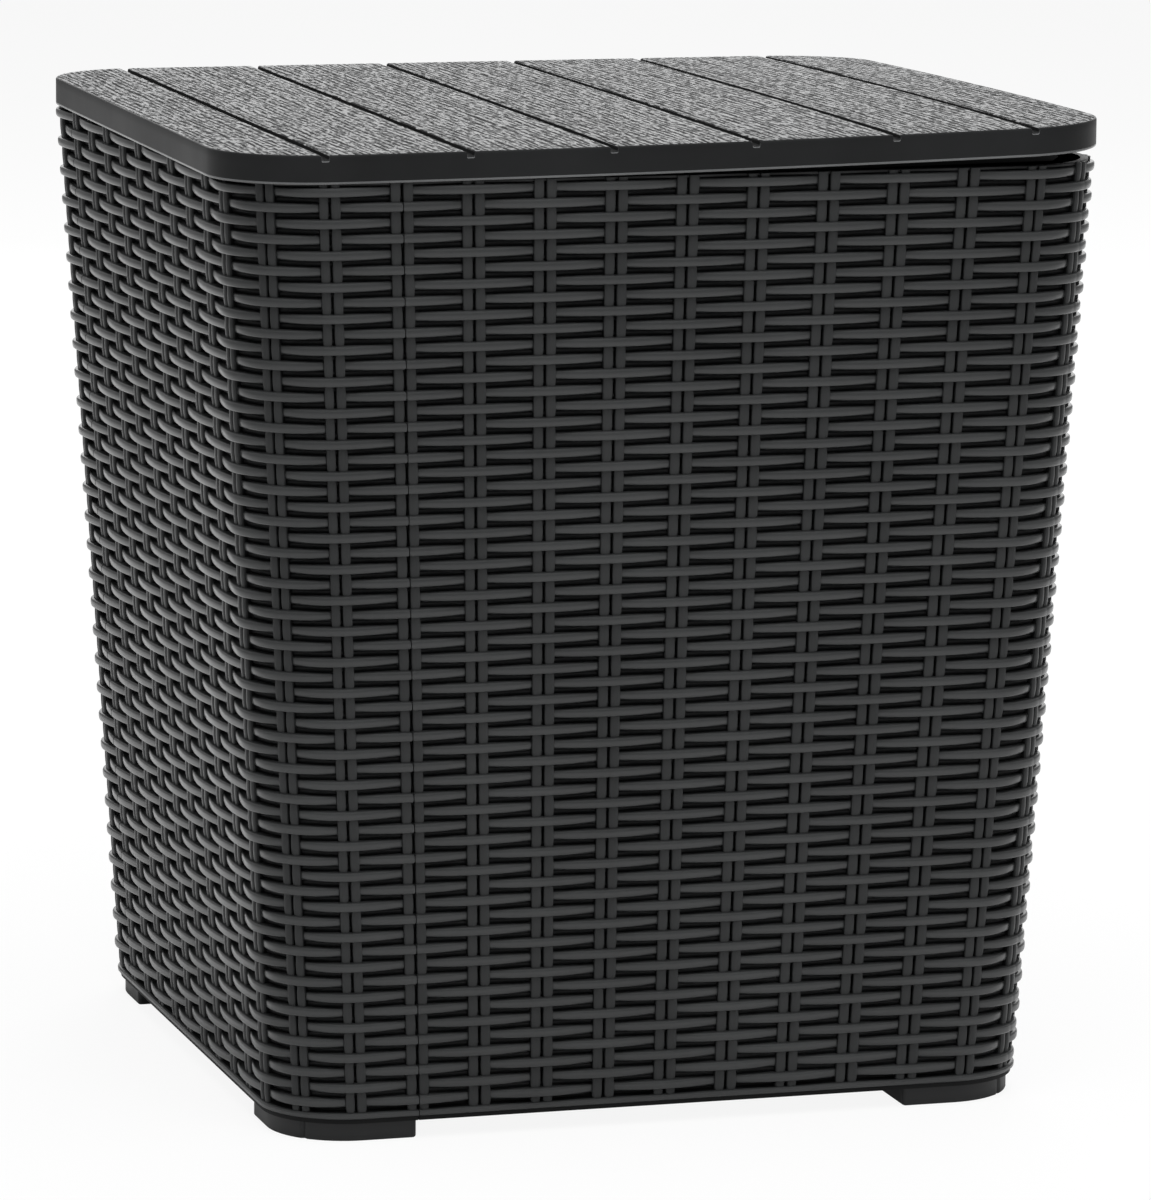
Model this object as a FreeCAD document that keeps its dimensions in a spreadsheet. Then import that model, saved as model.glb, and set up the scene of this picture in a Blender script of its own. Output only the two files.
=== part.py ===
import FreeCAD, Part
import math
import os
import Sketcher

# A square storage side table with rattan-look walls and a planked lid that lifts off.
# Millimetres. +Z is up, +X runs along the front face and -Y points out of it.
# The origin is on the ground, under the middle of the table.

# Driving sizes: name, value and what it measures.
SIZES = [
    ("overall_height", 472, "ground to the top of the lid"),
    ("lid_width", 434, "square lid, face to face"),
    ("lid_skirt", 13.6, "height of the lid's plain side band"),
    ("lid_wall", 3.2, "thickness of the side band"),
    ("lid_plate", 5, "thickness of the planked deck"),
    ("lid_edge_radius", 1, "rounding of the deck's outer edge"),
    ("edge_plank", 45, "side of the lid to the middle of the first groove"),
    ("groove_width", 4, "gap between two planks"),
    ("groove_depth", 2.2, "depth of that gap"),
    ("lid_rest_gap", 0.2, "lid's side band above the walls"),
    ("lip_clearance", 4.9, "locating lip inside the tongues of the walls"),
    ("lip_thickness", 2.5, "locating lip"),
    ("lip_drop", 4.2, "locating lip below the side band"),
    ("lip_end_gap", 32, "side of the lid to the end of a lip"),
    ("lid_rib_height", 8, "stiffening rib under the deck"),
    ("lid_rib_thickness", 2, "stiffening rib under the deck"),
    ("lid_rib_pitch", 100, "from one rib to the next"),
    ("wall_inset", 1.3, "face of the walls behind the side of the lid"),
    ("wall_bottom_width", 380.4, "walls at their lower edge, face to face"),
    ("wall_thickness", 7.2, "a wall from its inner face to the front of its stakes"),
    ("stake_pair_width", 10.7, "a pair of upright stakes, side to side"),
    ("stake_proud", 3, "stakes in front of the wall between them, at the mean depth of its strands"),
    ("stake_root", 1, "how far the stakes are sunk in their wall"),
    ("corner_radius", 48, "outer corner of the walls at their upper edge"),
    ("return_straight", 30.3, "flat part of a wall's return at its upper edge"),
    ("seam_gap", 0.4, "between the edges of two walls"),
    ("tongue_length", 14, "tongue past the seam"),
    ("tongue_root", 12, "thick edge that the tongue grows from"),
    ("tongue_thickness", 2.5, "tongue behind the next wall"),
    ("tongue_gap", 0.3, "between the tongue and the next wall"),
    ("foot_height", 10, "ground to the lower edge of the walls"),
    ("foot_inset", 4.2, "face of a foot behind the face of the walls"),
    ("foot_size", 64, "side of a corner foot"),
    ("foot_wall", 3, "side and base of a hollow foot"),
    ("ledge_width", 12, "ledge that carries the floor"),
    ("ledge_thickness", 3, "ledge that carries the floor"),
    ("ledge_end_gap", 1.5, "ledge to the tip of the next wall's tongue"),
    ("ledge_root", 1.5, "how far the ledge is sunk in its wall"),
    ("floor_thickness", 3, "floor plate"),
    ("floor_clearance", 0.8, "floor plate to the tongues"),
    ("floor_rib_height", 3, "rib under the floor plate"),
    ("floor_rib_thickness", 2, "rib under the floor plate"),
    ("floor_rib_pitch", 60, "from one rib to the next"),
    ("floor_rib_end_gap", 2, "end of a rib to the ledge"),
    ("drain_diameter", 8, "drain hole in the floor"),
    ("drain_offset", 90, "drain hole from the middle of the floor"),
    ("screw_diameter", 4, "shank of every screw"),
    ("screw_gap", 0.2, "shank to the side of its hole"),
    ("head_diameter", 7.5, "pan head of every screw"),
    ("head_height", 2.4, "pan head of every screw"),
    ("screw_skin", 1.5, "wall left in front of a seam screw's hole"),
    ("screw_end_gap", 0.4, "tip of a seam screw to the end of its hole"),
    ("seam_screw_low", 60, "lowest seam screw above the ground"),
    ("seam_screw_step", 170, "from one seam screw to the next"),
    ("floor_screw_edge", 4.2, "floor screw from the edge of the floor"),
    ("floor_screw_spread", 70, "floor screw from the middle of a side"),
    ("floor_screw_length", 8, "shank of a floor screw"),
]
SIDES = ["front", "right", "back", "left"]
GROOVES = 6
RIBS = 3
SEAM_SCREWS = 3
STAKE_PITCHES = 12
QUARTER_TURN = 90

doc = FreeCAD.newDocument("storage_table")
sheet = doc.addObject("Spreadsheet::Sheet", "Sizes")
for row, (alias, value, meaning) in enumerate(SIZES, start=1):
    sheet.set(f"A{row}", meaning)
    sheet.set(f"B{row}", str(value))
    sheet.setAlias(f"B{row}", alias)
doc.recompute()


class Size:
    """A length with its formula in the sheet's names, and what that formula gives now."""

    def __init__(self, formula, value):
        self.formula = formula
        self.value = value

    def joined(self, sign, other, value):
        return Size(f"({self.formula} {sign} {other.formula})", value)

    def __add__(self, other):
        other = as_size(other)
        return self.joined("+", other, self.value + other.value)

    def __sub__(self, other):
        other = as_size(other)
        return self.joined("-", other, self.value - other.value)

    def __mul__(self, other):
        other = as_size(other)
        return self.joined("*", other, self.value * other.value)

    def __truediv__(self, other):
        other = as_size(other)
        return self.joined("/", other, self.value / other.value)

    def __neg__(self):
        return Size(f"(-1 * {self.formula})", -self.value)

    def sine(self):
        return Size(f"sin({self.formula})", math.sin(math.radians(self.value)))

    def cosine(self):
        return Size(f"cos({self.formula})", math.cos(math.radians(self.value)))


def as_size(number):
    """A Size as it is, and a plain number as a Size."""
    return number if isinstance(number, Size) else Size(f"({number})", number)


def size(alias):
    """A driving size from the sheet."""
    return Size(f"Sizes.{alias}", float(sheet.get(alias)))


# Levels and half widths that several pieces share.
lid_top = size("overall_height")
lid_half = size("lid_width") / 2
skirt_bottom = lid_top - size("lid_skirt")
deck_underside = lid_top - size("lid_plate")
wall_top = skirt_bottom - size("lid_rest_gap")
wall_bottom = size("foot_height")
top_half = lid_half - size("wall_inset")
bottom_half = size("wall_bottom_width") / 2
top_core = top_half - size("corner_radius")
top_seam = top_core - size("return_straight")
top_arc = size("corner_radius") * (math.pi / 2)
stake_pitch = (top_seam + top_core + top_arc + size("return_straight")) / STAKE_PITCHES
slope = (top_half - bottom_half) / (wall_top - wall_bottom)
tongue_depth = size("wall_thickness") + size("tongue_gap") + size("tongue_thickness")
floor_bottom = wall_bottom + size("ledge_thickness")
floor_top = floor_bottom + size("floor_thickness")
ledge_inner = bottom_half - size("wall_thickness") - size("ledge_width")
floor_half = bottom_half - tongue_depth - size("floor_clearance")
hole_radius = size("screw_diameter") / 2 + size("screw_gap")


def half_at(level):
    """Half the width of the walls, over their stakes, at a height."""
    return bottom_half + slope * (level - wall_bottom)


def shrink_at(level):
    """How much smaller the outline of the walls is at a height than at the upper edge."""
    return half_at(level) / top_half


def plane_of(body, role):
    """One of a body's own origin planes."""
    return [feature for feature in body.Origin.OriginFeatures if feature.Role == role][0]


def new_body(label):
    body = doc.addObject("PartDesign::Body", label)
    body.Label = label
    return body


def new_sketch(body, name, role="XY_Plane", offset=None):
    """A sketch on an origin plane, moved along that plane's normal by an offset."""
    sketch = body.newObject("Sketcher::SketchObject", name)
    sketch.AttachmentSupport = [(plane_of(body, role), "")]
    sketch.MapMode = "FlatFace"
    if offset is not None:
        sketch.setExpression("AttachmentOffset.Base.z", offset.formula)
    return sketch


def bind(sketch, constraint, formula):
    """Adds a constraint whose value follows a formula."""
    index = sketch.addConstraint(constraint)
    sketch.setExpression(f"Constraints[{index}]", formula)


def pin_point(sketch, geometry, point, place):
    """Ties one point of a line or circle to its place from the sketch's origin."""
    for kind, distance in zip(("DistanceX", "DistanceY"), place):
        ends = (-1, 1, geometry, point)
        if distance.value < 0:
            ends = (geometry, point, -1, 1)
            distance = -distance
        bind(sketch, Sketcher.Constraint(kind, *ends, distance.value), distance.formula)


def vector(place):
    return FreeCAD.Vector(place[0].value, place[1].value, 0)


def toward(start, end):
    """The unit step along X or Y from one corner to the next."""
    across = end[0].value - start[0].value
    along = end[1].value - start[1].value
    if abs(across) > abs(along):
        return (1 if across > 0 else -1, 0)
    return (0, 1 if along > 0 else -1)


def moved(place, step, distance):
    return tuple(part + distance * way if way else part for part, way in zip(place, step))


def add_outline(sketch, corners):
    """Draws a closed outline of corners, (x, y) or (x, y, radius). Sides at a radius lie along X or Y."""
    count = len(corners)
    places = [tuple(as_size(part) for part in corner[:2]) for corner in corners]
    radii = [corner[2] if len(corner) == 3 else None for corner in corners]
    steps = [toward(places[i], places[(i + 1) % count]) for i in range(count)]
    lines = []
    for i in range(count):
        after = (i + 1) % count
        start = moved(places[i], steps[i], radii[i]) if radii[i] else places[i]
        end = moved(places[after], steps[i], -radii[after]) if radii[after] else places[after]
        line = sketch.addGeometry(Part.LineSegment(vector(start), vector(end)))
        lines.append((line, start, end))
    for i in range(count):
        before, _, entry = lines[i - 1]
        line, leave, _ = lines[i]
        pin_point(sketch, line, 1, leave)
        if not radii[i]:
            sketch.addConstraint(Sketcher.Constraint("Coincident", before, 2, line, 1))
            continue
        pin_point(sketch, before, 2, entry)
        round_corner(sketch, before, line, entry, leave, steps[i], radii[i])


def round_corner(sketch, before, line, entry, leave, step, radius):
    """Joins two lines by a quarter circle."""
    centre = vector(moved(entry, step, radius))
    middle = centre + (vector(entry) - centre + vector(leave) - centre).normalize() * radius.value
    arc = Part.Arc(vector(entry), middle, vector(leave))
    round_edge = sketch.addGeometry(arc)
    ends = sketch.getPoint(round_edge, 1)
    starts_here = ends.distanceToPoint(vector(entry)) < ends.distanceToPoint(vector(leave))
    first, last = (1, 2) if starts_here else (2, 1)
    sketch.addConstraint(Sketcher.Constraint("Coincident", before, 2, round_edge, first))
    sketch.addConstraint(Sketcher.Constraint("Coincident", line, 1, round_edge, last))
    bind(sketch, Sketcher.Constraint("Radius", round_edge, radius.value), radius.formula)


def add_rectangle(sketch, low, high):
    add_outline(sketch, [low, (high[0], low[1]), high, (low[0], high[1])])


def add_rounded_square(sketch, half, radius):
    places = [(-half, -half), (half, -half), (half, half), (-half, half)]
    add_outline(sketch, [(*place, radius) for place in places])


def add_circle(sketch, place, radius):
    place = tuple(as_size(part) for part in place)
    normal = FreeCAD.Vector(0, 0, 1)
    circle = sketch.addGeometry(Part.Circle(vector(place), normal, radius.value))
    pin_point(sketch, circle, 3, place)
    bind(sketch, Sketcher.Constraint("Radius", circle, radius.value), radius.formula)


def pad(body, sketch, length):
    feature = body.newObject("PartDesign::Pad", sketch.Name + "_pad")
    feature.Profile = sketch
    feature.setExpression("Length", length.formula)
    doc.recompute()
    return feature


def loft(body, name, lower, upper):
    """Adds the straight-sided solid between two sketches."""
    feature = body.newObject("PartDesign::AdditiveLoft", name)
    feature.Profile = lower
    feature.Sections = [upper]
    feature.Ruled = True
    doc.recompute()
    return feature


def pocket(body, sketch, length=None, reversed_way=False):
    """Cuts a sketch out of a body, to a depth or right through, and makes sure that it cut something."""
    before = body.Shape.Volume
    feature = body.newObject("PartDesign::Pocket", sketch.Name + "_pocket")
    feature.Profile = sketch
    feature.Reversed = reversed_way
    if length is None:
        feature.Type = "ThroughAll"
    else:
        feature.setExpression("Length", length.formula)
    doc.recompute()
    if body.Shape.Volume >= before:
        raise RuntimeError(f"{feature.Name} cut nothing")
    return feature


def quarter_turns(place, turns):
    """A place turned about the middle of the table by quarter turns."""
    for _ in range(turns):
        place = (-place[1], place[0])
    return place


def add_wall_section(sketch, half, shrink):
    """A level cut of the front wall: flat face, right corner, return, and the tongue at its left edge."""
    radius = size("corner_radius") * shrink
    seam = top_seam * shrink
    edge = size("seam_gap") / 2
    face = half - size("stake_proud")
    inner = half - size("wall_thickness")
    tongue_outer = inner - size("tongue_gap")
    tongue_inner = tongue_outer - size("tongue_thickness")
    tip = -seam - size("tongue_length")
    root = -seam + size("tongue_root")
    add_outline(
        sketch,
        [
            (-seam + edge, -face),
            (face, -face, radius - size("stake_proud")),
            (face, -seam - edge),
            (inner, -seam - edge),
            (inner, -inner, radius - size("wall_thickness")),
            (root, -inner),
            (root, -tongue_inner),
            (tip, -tongue_inner),
            (tip, -tongue_outer),
            (-seam + edge, -tongue_outer),
        ],
    )


def stake_corners(number, half, shrink):
    """A level cut of one pair of stakes, counted from the left seam. A seam has only the near stake."""
    low = -size("stake_pair_width") / 2 if number > 0 else size("seam_gap") / 2
    high = size("stake_pair_width") / 2 if number < STAKE_PITCHES else -size("seam_gap") / 2
    deep = size("stake_proud") + size("stake_root")
    back = half - deep
    past_front = stake_pitch * number - top_seam - top_core
    past_corner = past_front - top_arc
    if past_front.value <= 0:
        middle = (past_front + top_core) * shrink
        return [(middle + low, -half), (middle + high, -half), (middle + high, -back), (middle + low, -back)]
    if past_corner.value >= 0:
        middle = (past_corner - top_core) * shrink
        return [(half, middle + low), (half, middle + high), (back, middle + high), (back, middle + low)]
    radius = size("corner_radius") * shrink
    degrees_each = as_size(math.degrees(1)) / radius
    start = (past_front * shrink + low) * degrees_each
    end = (past_front * shrink + high) * degrees_each
    corners = [(start, radius), (end, radius), (end, radius - deep), (start, radius - deep)]
    core = half - radius
    return [(core + turn.sine() * reach, -core - turn.cosine() * reach) for turn, reach in corners]


def add_stakes(body, label):
    """Upright ribs in front of a wall, one for each pair of stakes of its weave."""
    for number in range(STAKE_PITCHES + 1):
        name = f"{label}_stakes_{number}"
        lower = new_sketch(body, name + "_lower", offset=wall_bottom)
        add_outline(lower, stake_corners(number, bottom_half, shrink_at(wall_bottom)))
        upper = new_sketch(body, name + "_upper", offset=wall_top)
        add_outline(upper, stake_corners(number, top_half, shrink_at(wall_top)))
        loft(body, name, lower, upper)


def add_ledge(body, label):
    """The shelf inside the lower edge of a wall, which the floor lies on."""
    shrink = shrink_at(wall_bottom)
    seam = top_seam * shrink
    outer = bottom_half - size("wall_thickness") + size("ledge_root")
    radius = size("corner_radius") * shrink
    start = -seam + size("tongue_root") / 2
    end = -seam - size("tongue_length") - size("ledge_end_gap")
    sketch = new_sketch(body, label + "_ledge", offset=wall_bottom)
    add_outline(
        sketch,
        [
            (start, -outer),
            (outer, -outer, radius - (bottom_half - outer)),
            (outer, end),
            (ledge_inner, end),
            (ledge_inner, -ledge_inner, radius - (bottom_half - ledge_inner)),
            (start, -ledge_inner),
        ],
    )
    pad(body, sketch, size("ledge_thickness"))


def add_foot(body, label):
    """The hollow foot under a wall's corner."""
    outer = bottom_half - size("foot_inset")
    inner = outer - size("foot_size")
    radius = size("corner_radius") * shrink_at(wall_bottom) - size("foot_inset")
    block = new_sketch(body, label + "_foot")
    add_outline(block, [(inner, -outer), (outer, -outer, radius), (outer, -inner), (inner, -inner)])
    pad(body, block, wall_bottom)
    side = size("foot_wall")
    low = inner + side
    high = outer - side
    hollow = new_sketch(body, label + "_foot_hollow", offset=wall_bottom)
    add_outline(hollow, [(low, -high), (high, -high, radius - side), (high, -low), (low, -low)])
    pocket(body, hollow, wall_bottom - side)


def seam_screw_places():
    """Height, offset along the face and half width of the walls for each screw of a seam."""
    for i in range(SEAM_SCREWS):
        level = size("seam_screw_low") + size("seam_screw_step") * i
        seam = top_seam * shrink_at(level)
        yield level, -seam - size("tongue_length") / 2, half_at(level)


def add_wall_holes(body, label):
    """Screw holes: through the tongue, blind in the return, and through the ledge."""
    tongue = new_sketch(body, label + "_tongue_holes", "XZ_Plane")
    for level, offset, _ in seam_screw_places():
        add_circle(tongue, (offset, level), hole_radius)
    pocket(body, tongue, reversed_way=True)
    for number, (level, offset, half) in enumerate(seam_screw_places(), start=1):
        blind = new_sketch(body, f"{label}_return_hole_{number}", "YZ_Plane")
        add_circle(blind, (offset, level), hole_radius)
        pocket(body, blind, half - size("stake_proud") - size("screw_skin"), reversed_way=True)
    ledge = new_sketch(body, label + "_ledge_holes", offset=floor_bottom)
    for place in floor_screw_places(1):
        add_circle(ledge, place, hole_radius)
    pocket(body, ledge, size("ledge_thickness"))


def floor_screw_places(sides):
    """Where the floor screws stand, two on each side, counted from the front."""
    line = floor_half - size("floor_screw_edge")
    for turns in range(sides):
        for spread in (-size("floor_screw_spread"), size("floor_screw_spread")):
            yield quarter_turns((spread, -line), turns)


def make_wall(label):
    """The moulding of the front wall: shell, stakes, ledge, foot and screw holes."""
    body = new_body(label)
    lower = new_sketch(body, label + "_lower", offset=wall_bottom)
    add_wall_section(lower, bottom_half, shrink_at(wall_bottom))
    upper = new_sketch(body, label + "_upper", offset=wall_top)
    add_wall_section(upper, top_half, shrink_at(wall_top))
    loft(body, label + "_shell", lower, upper)
    add_stakes(body, label)
    add_ledge(body, label)
    add_foot(body, label)
    add_wall_holes(body, label)
    return body


def add_ribs(body, name, bottom, top, half_length, thickness, pitch):
    """Two crossing sets of ribs, each spread about the middle, between two levels."""
    middle = (RIBS - 1) / 2
    for way in ("along", "across"):
        sketch = new_sketch(body, f"{name}_{way}", offset=bottom)
        for i in range(RIBS):
            centre = pitch * (i - middle)
            low = (centre - thickness / 2, -half_length)
            high = (centre + thickness / 2, half_length)
            if way == "across":
                low = low[::-1]
                high = high[::-1]
            add_rectangle(sketch, low, high)
        pad(body, sketch, top - bottom)


def make_floor():
    """The floor plate, ribbed below, with drain holes and the holes of its screws."""
    body = new_body("floor")
    plate = new_sketch(body, "floor_plate", offset=floor_bottom)
    radius = size("corner_radius") * shrink_at(wall_bottom) - (bottom_half - floor_half)
    add_rounded_square(plate, floor_half, radius)
    pad(body, plate, size("floor_thickness"))
    reach = ledge_inner - size("floor_rib_end_gap")
    rib_bottom = floor_bottom - size("floor_rib_height")
    middle = floor_bottom + size("floor_thickness") / 2
    thickness = size("floor_rib_thickness")
    add_ribs(body, "floor_ribs", rib_bottom, middle, reach, thickness, size("floor_rib_pitch"))
    holes = new_sketch(body, "floor_holes", offset=floor_top)
    for turns in range(len(SIDES)):
        drain = quarter_turns((size("drain_offset"), size("drain_offset")), turns)
        add_circle(holes, drain, size("drain_diameter") / 2)
    for place in floor_screw_places(len(SIDES)):
        add_circle(holes, place, hole_radius)
    pocket(body, holes, size("floor_thickness"))
    return body


def top_face_name(shape):
    """The name of the highest face of a shape."""
    heights = [face.CenterOfMass.z for face in shape.Faces]
    return f"Face{heights.index(max(heights)) + 1}"


def make_lid():
    """The lid: a cap with a planked deck, a side band, locating lips and ribs."""
    body = new_body("lid")
    cap = new_sketch(body, "lid_cap", offset=skirt_bottom)
    radius = size("corner_radius") + size("wall_inset")
    add_rounded_square(cap, lid_half, radius)
    block = pad(body, cap, size("lid_skirt"))
    edge = body.newObject("PartDesign::Fillet", "lid_edge")
    edge.Base = (block, [top_face_name(block.Shape)])
    edge.setExpression("Radius", size("lid_edge_radius").formula)
    doc.recompute()
    hollow = new_sketch(body, "lid_hollow", offset=skirt_bottom)
    add_rounded_square(hollow, lid_half - size("lid_wall"), radius - size("lid_wall"))
    pocket(body, hollow, size("lid_skirt") - size("lid_plate"), reversed_way=True)
    add_lips(body)
    deck_middle = deck_underside + size("lid_plate") / 4
    rib_bottom = deck_underside - size("lid_rib_height")
    reach = lip_outer() - size("lip_thickness") / 2
    thickness = size("lid_rib_thickness")
    add_ribs(body, "lid_ribs", rib_bottom, deck_middle, reach, thickness, size("lid_rib_pitch"))
    add_grooves(body)
    return body


def lip_outer():
    """How far the outer faces of the locating lips lie from the middle."""
    return top_half - tongue_depth - size("lip_clearance")


def add_lips(body):
    """Four straight lips that drop inside the walls and stop short of the corners."""
    bottom = skirt_bottom - size("lip_drop")
    outer = lip_outer()
    inner = outer - size("lip_thickness")
    end = lid_half - size("lip_end_gap")
    sketch = new_sketch(body, "lid_lips", offset=bottom)
    for way in (-1, 1):
        near, far = sorted((inner * way, outer * way), key=lambda part: part.value)
        add_rectangle(sketch, (-end, near), (end, far))
        add_rectangle(sketch, (near, -end), (far, end))
    pad(body, sketch, deck_underside + size("lid_plate") / 4 - bottom)


def add_grooves(body):
    """The grooves between the planks, which run from front to back."""
    first = -lid_half + size("edge_plank")
    pitch = (lid_half - size("edge_plank")) * 2 / (GROOVES - 1)
    sketch = new_sketch(body, "lid_grooves", "XZ_Plane", lid_half * 2)
    for i in range(GROOVES):
        centre = first + pitch * i
        low = (centre - size("groove_width") / 2, lid_top - size("groove_depth"))
        high = (centre + size("groove_width") / 2, lid_top + size("groove_depth"))
        add_rectangle(sketch, low, high)
    pocket(body, sketch)


def round_bar(name, radius, length, place, turn):
    """A cylinder that starts at a place and runs along Z after a turn about X."""
    bar = doc.addObject("Part::Cylinder", name)
    bar.setExpression("Radius", radius.formula)
    bar.setExpression("Height", length.formula)
    rotation = FreeCAD.Rotation(FreeCAD.Vector(1, 0, 0), turn)
    bar.Placement = FreeCAD.Placement(FreeCAD.Vector(0, 0, 0), rotation)
    for letter, distance in zip("xyz", place):
        bar.setExpression(f"Placement.Base.{letter}", distance.formula)
    return bar


def make_screw(name, seat, way, turn, length):
    """A pan-head screw. Its seat is the middle of the head's underside, and way points on to the head."""
    head_height = size("head_height")
    top = tuple(part + head_height * step for part, step in zip(seat, way))
    middle = tuple(part + head_height * step / 2 for part, step in zip(seat, way))
    screw = doc.addObject("Part::Fuse", name)
    screw.Base = round_bar(name + "_head", size("head_diameter") / 2, head_height, top, turn)
    shank = length + head_height / 2
    screw.Tool = round_bar(name + "_shank", size("screw_diameter") / 2, shank, middle, turn)
    return screw


def make_group(label, members, turns=0):
    """One piece of one or more solids that stand at the front, turned about the middle of the table."""
    group = doc.addObject("Part::Compound", label)
    group.Label = label
    group.Links = members
    turn = FreeCAD.Rotation(FreeCAD.Vector(0, 0, 1), QUARTER_TURN * turns)
    group.Placement = FreeCAD.Placement(FreeCAD.Vector(0, 0, 0), turn)
    return group


def make_seam_screws(side, turns):
    """The screws of one seam, from inside the table through the tongue."""
    label = "seam_screws_" + side
    tilt_gap = size("head_diameter") / 2 * slope
    screws = []
    for number, (level, offset, half) in enumerate(seam_screw_places(), start=1):
        seat_depth = tongue_depth + tilt_gap
        seat = (offset, seat_depth - half, level)
        length = seat_depth - size("stake_proud") - size("screw_skin") - size("screw_end_gap")
        screws.append(make_screw(f"{label}_{number}", seat, (0, 1, 0), QUARTER_TURN, length))
    return make_group(label, screws, turns)


def make_floor_screws():
    """The screws that hold the floor down on the ledges."""
    screws = []
    for number, place in enumerate(floor_screw_places(len(SIDES)), start=1):
        seat = (*place, floor_top)
        name = f"floor_screw_{number}"
        screws.append(make_screw(name, seat, (0, 0, 1), 2 * QUARTER_TURN, size("floor_screw_length")))
    return make_group("floor_screws", screws)


pieces = [make_lid(), make_floor(), make_floor_screws()]
moulding = make_wall("wall_moulding")
for turns, side in enumerate(SIDES):
    pieces.append(make_group("wall_" + side, [moulding], turns))
    pieces.append(make_seam_screws(side, turns))
doc.recompute()

for item in doc.Objects:
    if "Invalid" in item.State or "Error" in item.State:
        raise RuntimeError(f"{item.Label} failed: {item.State}")
for piece in pieces:
    if piece.Shape.isNull() or not piece.Shape.isValid():
        raise RuntimeError(f"{piece.Label} has no valid shape")

os.makedirs("parts", exist_ok=True)
for piece in pieces:
    piece.Shape.exportStep(f"parts/{piece.Label}.step")
    print(piece.Label, len(piece.Shape.Solids), "solids", round(piece.Shape.Volume / 1000, 1), "cm3")
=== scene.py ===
# %% [markdown]
# # Rattan-look storage side table
# The object is a square box of dark resin: four woven-look walls on low corner feet, a planked lid
# that lifts off, a floor and a few screws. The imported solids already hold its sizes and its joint, so
# this script only adds the looks. Each step says what the piece is on the real table, how it could be
# made here, and why it is made this way.

# %% Load the frame
import math

import bmesh
import bpy
import numpy as np
from mathutils import Matrix, Vector


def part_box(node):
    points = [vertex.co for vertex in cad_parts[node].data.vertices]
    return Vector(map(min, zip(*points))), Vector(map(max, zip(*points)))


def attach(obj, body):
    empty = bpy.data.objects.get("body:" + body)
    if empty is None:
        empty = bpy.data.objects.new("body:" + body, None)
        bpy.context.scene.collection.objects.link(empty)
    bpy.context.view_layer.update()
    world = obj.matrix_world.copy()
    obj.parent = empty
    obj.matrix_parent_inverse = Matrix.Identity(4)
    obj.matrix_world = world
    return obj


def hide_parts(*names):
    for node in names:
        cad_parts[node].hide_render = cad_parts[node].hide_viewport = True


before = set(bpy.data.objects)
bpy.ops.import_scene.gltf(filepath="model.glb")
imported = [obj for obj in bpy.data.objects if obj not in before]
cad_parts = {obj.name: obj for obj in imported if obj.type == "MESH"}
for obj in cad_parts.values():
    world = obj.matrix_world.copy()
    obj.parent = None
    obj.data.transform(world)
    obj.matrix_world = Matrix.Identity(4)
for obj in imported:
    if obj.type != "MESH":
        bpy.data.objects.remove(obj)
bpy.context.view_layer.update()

# %% [markdown]
# ## Sizes
# Lengths are in millimetres, because that is how a moulding is drawn, and they turn into metres only
# where a mesh is made. The outer sizes are read from the solids, so that the looks follow them. The
# foot of the taper, the wall and the corner are the moulding's own sizes.

# %% Sizes from the solids
MM = 0.001
lid_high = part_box("lid")[1] / MM
wall_low, wall_high = (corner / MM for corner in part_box("wall_front"))
LID_TOP = lid_high.z
LID_HALF = lid_high.x
WALL_TOP = wall_high.z
TOP_HALF = -wall_low.y
WALL_BOTTOM = 10.0
BOTTOM_HALF = 190.2
WALL_DEPTH = 7.2
CORNER_RADIUS = 48.0
SEAM_GAP = 0.4
SIDES = ("front", "right", "back", "left")


def half_at(level):
    """Half the width of the tapered walls at a level."""
    return BOTTOM_HALF + (level - WALL_BOTTOM) * (TOP_HALF - BOTTOM_HALF) / (WALL_TOP - WALL_BOTTOM)


print(f"lid {2 * LID_HALF:.1f} wide, top at {LID_TOP:.1f}")
print(f"walls {2 * TOP_HALF:.1f} wide at the top, {2 * half_at(WALL_BOTTOM):.1f} at the bottom")

# %% [markdown]
# ## Camera
# A long lens from a little above, turned to the table's left. The three angles, the distance and the
# point it aims at were worked out from the lid's grooves, the weave's rows and the outline. A camera
# could also be aimed with a constraint, but a plain matrix also holds the small roll of the picture.

# %% Camera
IMAGE_HEIGHT_PX = 1200
FOCAL_PX = 7155
SENSOR_MM = 36.0
CAMERA_TURN = math.radians(16.53)
CAMERA_TILT = math.radians(9.64)
CAMERA_ROLL = math.radians(0.387)
CAMERA_DISTANCE = 3.5676
CAMERA_AIM = Vector((0.0089, -0.0038, 0.2233))
CAMERA_REACH = 100.0


def add_camera():
    data = bpy.data.cameras.new("camera")
    data.lens = FOCAL_PX * SENSOR_MM / IMAGE_HEIGHT_PX
    data.sensor_width = SENSOR_MM
    data.clip_end = CAMERA_REACH
    camera = bpy.data.objects.new("camera", data)
    bpy.context.scene.collection.objects.link(camera)
    turn = Matrix.Rotation(-CAMERA_TURN, 4, "Z")
    tilt = Matrix.Rotation(math.pi / 2 - CAMERA_TILT, 4, "X")
    roll = Matrix.Rotation(CAMERA_ROLL, 4, "Z")
    aim = turn @ tilt @ roll
    back = aim.to_3x3() @ Vector((0, 0, 1))
    camera.matrix_world = Matrix.Translation(CAMERA_AIM + back * CAMERA_DISTANCE) @ aim
    bpy.context.scene.camera = camera
    return camera


camera = add_camera()
camera_place = [round(x, 3) for x in camera.matrix_world.translation]
print("camera at", camera_place, "lens", round(camera.data.lens, 1))

# %% [markdown]
# ## Shared tools for finishes
# Every finish here is a moulded resin or a plated steel, and each needs a fine skin that breaks up
# its gloss. That effect is a node group, built once and placed in each material with its own values.
# An image could give the same look, but noise in object space needs no file and has no seams.

# %% Moulded skin group


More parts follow.
